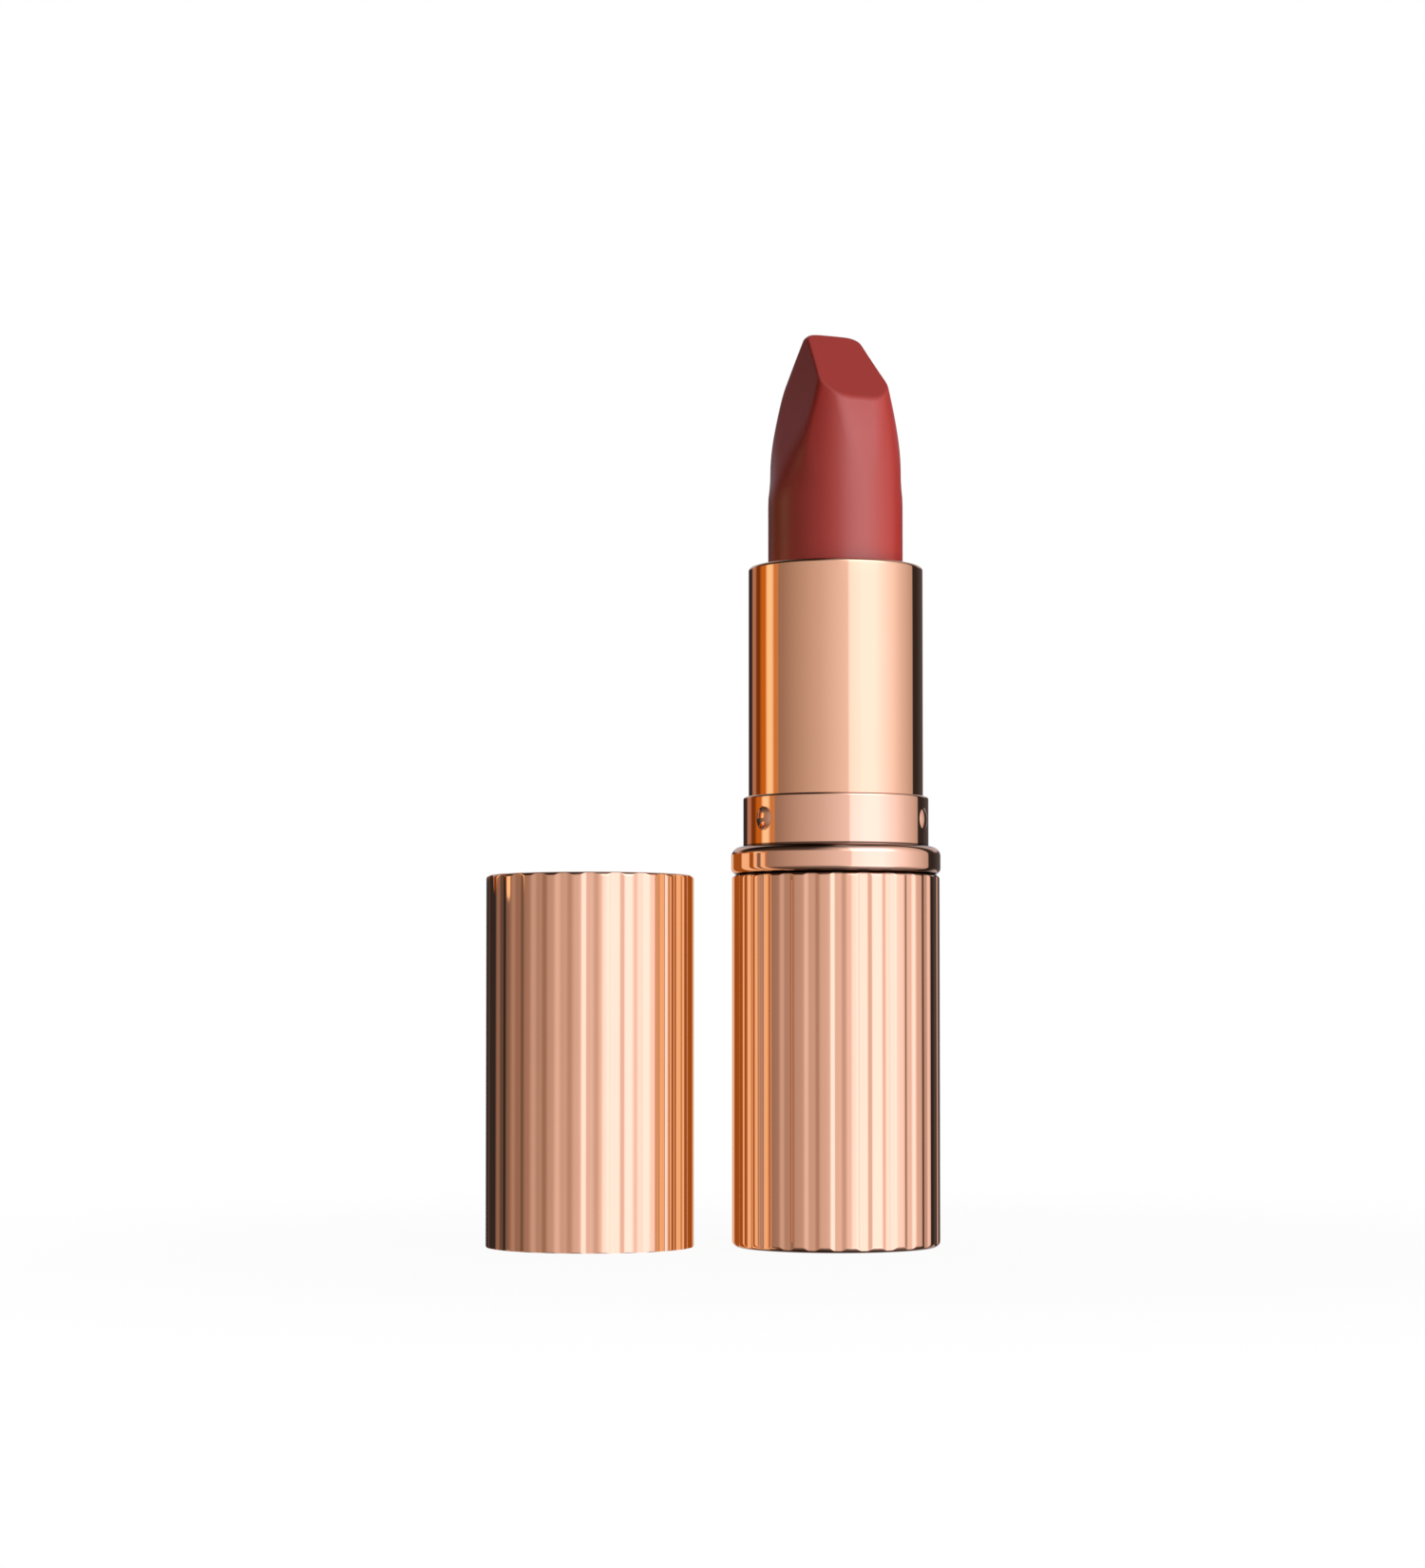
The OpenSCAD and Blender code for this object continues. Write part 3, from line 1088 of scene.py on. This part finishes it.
@dataclass
class Studio:
    """Plain pale floor, soft light all round, and the camera."""

    eye_height: float = 22.1 * MM
    eye_distance: float = 326.0 * MM
    eye_side: float = -11.6 * MM
    lens: float = 79.6
    tilt: float = 1.93
    shift: float = 0.07
    floor_size: float = 6.0
    floor_grey: float = 0.8
    floor_fade: Span = (30.0 * MM, 120.0 * MM)
    floor_glow: float = 0.94
    card_half: float = 8.0 * MM
    card_over: float = 2.4 * MM
    card_under: float = 6.0 * MM
    warm_foot: Span = (2.3, 2.45)
    warm_head: Span = (12.0, 18.0)
    low_warm_head: Span = (-10.0, -6.0)
    low_warm_foot: Span = (-60.0, -35.0)
    warm_end: Span = (-83.5, -82.5)
    back_edge: Span = (132.0, 150.0)
    back_rise: Span = (8.0, 14.0)
    back_dim: float = 0.6
    left_end: Span = (-40.0, 15.0)
    left_start: Span = (-150.0, -132.0)
    left_rise: Span = (14.0, 32.0)
    left_dim: float = 0.85
    roof_rise: Span = (35.0, 74.0)
    roof_level: float = 0.18
    under_rise: Span = (-34.0, -8.0)
    under_level: float = 0.32
    tall_foot: Span = (9.0, 14.0)
    tall_head: Span = (30.0, 48.0)
    tall_bearing: float = 38.0
    tall_width: Span = (22.0, 40.0)
    tall_gain: float = 0.5
    key_bearing: float = 50.0
    key_climb: float = -14.0
    key_spread: Span = (0.62, 0.97)
    key_level: float = 2.8
    above_spread: Span = (0.75, 0.95)
    above_level: float = 1.5
    behind_spread: Span = (0.5, 0.95)
    behind_level: float = 1.1

    def build(self) -> None:
        """Sets up the floor, the light and the camera."""
        self.camera()
        self.floor()
        self.painted_reflection_card()
        self.light()
        bpy.context.scene.view_settings.view_transform = "Standard"

    def camera(self) -> None:
        """Places the camera a little above the table, looking slightly up."""
        data = bpy.data.cameras.new("camera")
        data.lens = self.lens
        data.sensor_width = 36.0
        data.shift_y = self.shift
        data.clip_start = 0.01
        eye = bpy.data.objects.new("camera", data)
        eye.location = (self.eye_side, -self.eye_distance, self.eye_height)
        eye.rotation_euler = (math.radians(90.0 + self.tilt), 0.0, 0.0)
        bpy.context.scene.collection.objects.link(eye)
        bpy.context.scene.camera = eye

    def floor(self) -> None:
        """Pale matt floor that the case stands on, white from a short way out."""
        half = self.floor_size / 2.0
        points = np.array([(-half, -half, 0.0), (half, -half, 0.0), (half, half, 0.0), (-half, half, 0.0)])
        plane = mesh_piece("floor", points, [(0, 1, 2, 3)], 30.0)
        material = bpy.data.materials.new("floor_paper")
        material.use_nodes = True
        graph = Graph(material.node_tree)
        matt = graph.add("ShaderNodeBsdfDiffuse", Color=(self.floor_grey,) * 3)
        glow = graph.add("ShaderNodeEmission", Color=(1.0, 1.0, 1.0), Strength=1.0)
        place = graph.add("ShaderNodeTexCoord").outputs["Object"]
        length = graph.add("ShaderNodeVectorMath", {"operation": "LENGTH"}, _0=place)
        away = Signal(graph, length.outputs["Value"])
        fade = graph.smooth(away, *self.floor_fade, self.floor_glow, 1.0)
        both = graph.add("ShaderNodeMixShader", Fac=fade, _1=matt.outputs[0], _2=glow.outputs[0])
        graph.add("ShaderNodeOutputMaterial", Surface=both.outputs[0])
        plane.data.materials.append(material)
        plane.visible_glossy = False
        plane.visible_diffuse = False

    def painted_reflection_card(self) -> None:
        """Warm card between base and cap, seen only in their polish, where each mirrors the other: its
        bands are a painted reflection standing in for that mutual reflection.
        """
        base = Place("base_shell")
        x = (base.axis.x + Place("cap_shell").axis.x) / 2.0
        low, high = -self.card_under, base.high.z + self.card_over
        half = self.card_half
        corners = np.array([(x, -half, low), (x, half, low), (x, half, high), (x, -half, high)])
        card = mesh_piece("painted_reflection_card", corners, [(0, 1, 2, 3)], 30.0)
        material = bpy.data.materials.new("painted_reflection_card")
        material.use_nodes = True
        graph = Graph(material.node_tree)
        place = graph.add("ShaderNodeTexCoord").outputs["Object"]
        depth = Signal(graph, graph.add("ShaderNodeSeparateXYZ", Vector=place).outputs["Y"])
        # painted reflection: coloured bands across the card, seen on the metal in place of base and cap
        # mirroring each other
        colour = graph.ramp(abs(depth) / half, PAINTED_REFLECTION_BANDS)
        glow = graph.add("ShaderNodeEmission", Color=colour, Strength=1.0)
        graph.add("ShaderNodeOutputMaterial", Surface=glow.outputs[0])
        card.data.materials.append(material)
        card.visible_camera = False
        card.visible_diffuse = False
        card.visible_shadow = False

    def light(self) -> None:
        """Wraps soft boxes round the case: strong on the right, weak on the left, dark at the edges.

        The camera sees plain white, the metal sees the boxes, and matt surfaces get the key light.
        """
        world = bpy.data.worlds.new("studio")
        bpy.context.scene.world = world
        world.use_nodes = True
        graph = Graph(world.node_tree)
        place = graph.add("ShaderNodeTexCoord").outputs["Generated"]
        axes = graph.add("ShaderNodeSeparateXYZ", Vector=place)
        x, y, z = (Signal(graph, axes.outputs[i]) for i in range(3))
        bearing = graph.math("ARCTAN2", x, -y) * (180.0 / math.pi)
        climb = graph.math("ARCSINE", z, 0.0) * (180.0 / math.pi)
        warm = self.warm_place(graph, bearing, climb)
        boxes = self.strip(graph, bearing, STUDIO_BOXES)
        boxes = graph.mix(warm, boxes, self.strip(graph, bearing, WARM_CARD))
        behind = graph.smooth(abs(bearing), *self.back_edge) * graph.smooth(abs(climb), *self.back_rise)
        boxes = graph.mix(behind, boxes, graph.share_of(BACK_CARD, self.back_dim / BOX_STRENGTH))
        fall = self.fall(graph, bearing, climb)
        grey = graph.add("ShaderNodeCombineXYZ", X=fall, Y=fall, Z=fall).outputs[0]
        boxes = graph.mix(1.0, boxes, grey, MixMode.MULTIPLY)
        rays = graph.add("ShaderNodeLightPath")
        lit = graph.mix(rays.outputs["Is Diffuse Ray"], boxes, self.key(graph, place))
        lit_world = graph.add("ShaderNodeBackground", Color=lit, Strength=BOX_STRENGTH)
        white = graph.add("ShaderNodeBackground", Color=(1.0, 1.0, 1.0), Strength=1.0)
        seen = rays.outputs["Is Camera Ray"]
        both = graph.add("ShaderNodeMixShader", Fac=seen, _1=lit_world.outputs[0], _2=white.outputs[0])
        graph.add("ShaderNodeOutputWorld", Surface=both.outputs[0])

    def warm_place(self, graph: Graph, bearing: Signal, climb: Signal) -> Signal:
        """Says where the warm card hangs: a band above the horizon and a broad one below, on the left.

        Args:
            graph: the world's graph.
            bearing: direction in degrees.
            climb: angle above the horizon in degrees.

        Returns:
            1 on the card and 0 off it.
        """
        band = graph.smooth(climb, *self.warm_foot) * graph.smooth(climb, *self.warm_head, 1.0, 0.0)
        low = graph.smooth(climb, *self.low_warm_head, 1.0, 0.0) * graph.smooth(climb, *self.low_warm_foot)
        return band.most(low) * graph.smooth(bearing, *self.warm_end, 1.0, 0.0)

    def fall(self, graph: Graph, bearing: Signal, climb: Signal) -> Signal:
        """Dims the boxes towards roof and floor, and high on the left, and lifts the tall right one.

        Args:
            graph: the world's graph.
            bearing: direction in degrees.
            climb: angle above the horizon in degrees.

        Returns:
            Share of the light that is left.
        """
        steep = abs(climb)
        roof = graph.smooth(steep, *self.roof_rise, 1.0, self.roof_level)
        under = graph.smooth(climb, *self.under_rise, self.under_level, 1.0)
        left = graph.smooth(bearing, *self.left_end, 1.0, 0.0) * graph.smooth(bearing, *self.left_start)
        high_left = left * graph.smooth(climb, *self.left_rise, 0.0, self.left_dim)
        tall = graph.smooth(steep, *self.tall_foot) * graph.smooth(steep, *self.tall_head, 1.0, 0.0)
        right = graph.smooth(abs(bearing - self.tall_bearing), *self.tall_width, 1.0, 0.0)
        return roof * under * (1.0 - high_left) * (1.0 + self.tall_gain * (tall * right))

    def key(self, graph: Graph, place: bpy.types.NodeSocket) -> bpy.types.NodeSocket:
        """Soft key light on matt surfaces, from the front right, with some light from above and behind.

        Args:
            graph: the world's graph.
            place: direction that is looked at.

        Returns:
            The light's socket.
        """
        bearing, climb = math.radians(self.key_bearing), math.radians(self.key_climb)
        ahead = math.cos(climb)
        aim = (math.sin(bearing) * ahead, -math.cos(bearing) * ahead, math.sin(climb))
        towards = graph.add("ShaderNodeVectorMath", {"operation": "DOT_PRODUCT"}, _0=place, _1=aim)
        axes = graph.add("ShaderNodeSeparateXYZ", Vector=place)
        facing = Signal(graph, towards.outputs["Value"])
        back, up = Signal(graph, axes.outputs["Y"]), Signal(graph, axes.outputs["Z"])
        level = graph.smooth(facing, *self.key_spread, 0.0, self.key_level)
        level = level + graph.smooth(up, *self.above_spread, 0.0, self.above_level)
        level = level + graph.smooth(back, *self.behind_spread, 0.0, self.behind_level)
        level = level / BOX_STRENGTH
        return graph.add("ShaderNodeCombineXYZ", X=level, Y=level, Z=level).outputs[0]

    def strip(self, graph: Graph, bearing: Signal, lights: Lights) -> bpy.types.NodeSocket:
        """Runs light levels round the case.

        Args:
            graph: the world's graph.
            bearing: direction in degrees.
            lights: bearings and light levels.

        Returns:
            The colour's socket.
        """
        share = 1.0 / BOX_STRENGTH
        stops = [((degrees + 180.0) / 360.0, graph.share_of(level, share)) for degrees, level in lights]
        return graph.ramp((bearing + 180.0) / 360.0, stops)


def main() -> None:
    """Builds the case and its studio."""
    logging.basicConfig(level=logging.INFO, format="%(name)s: %(message)s")
    Studio().build()
    for part in (Base(), Tube(), ColourStick(), Cap()):
        part.build()
    bpy.context.view_layer.update()


if __name__ == "__main__":
    main()
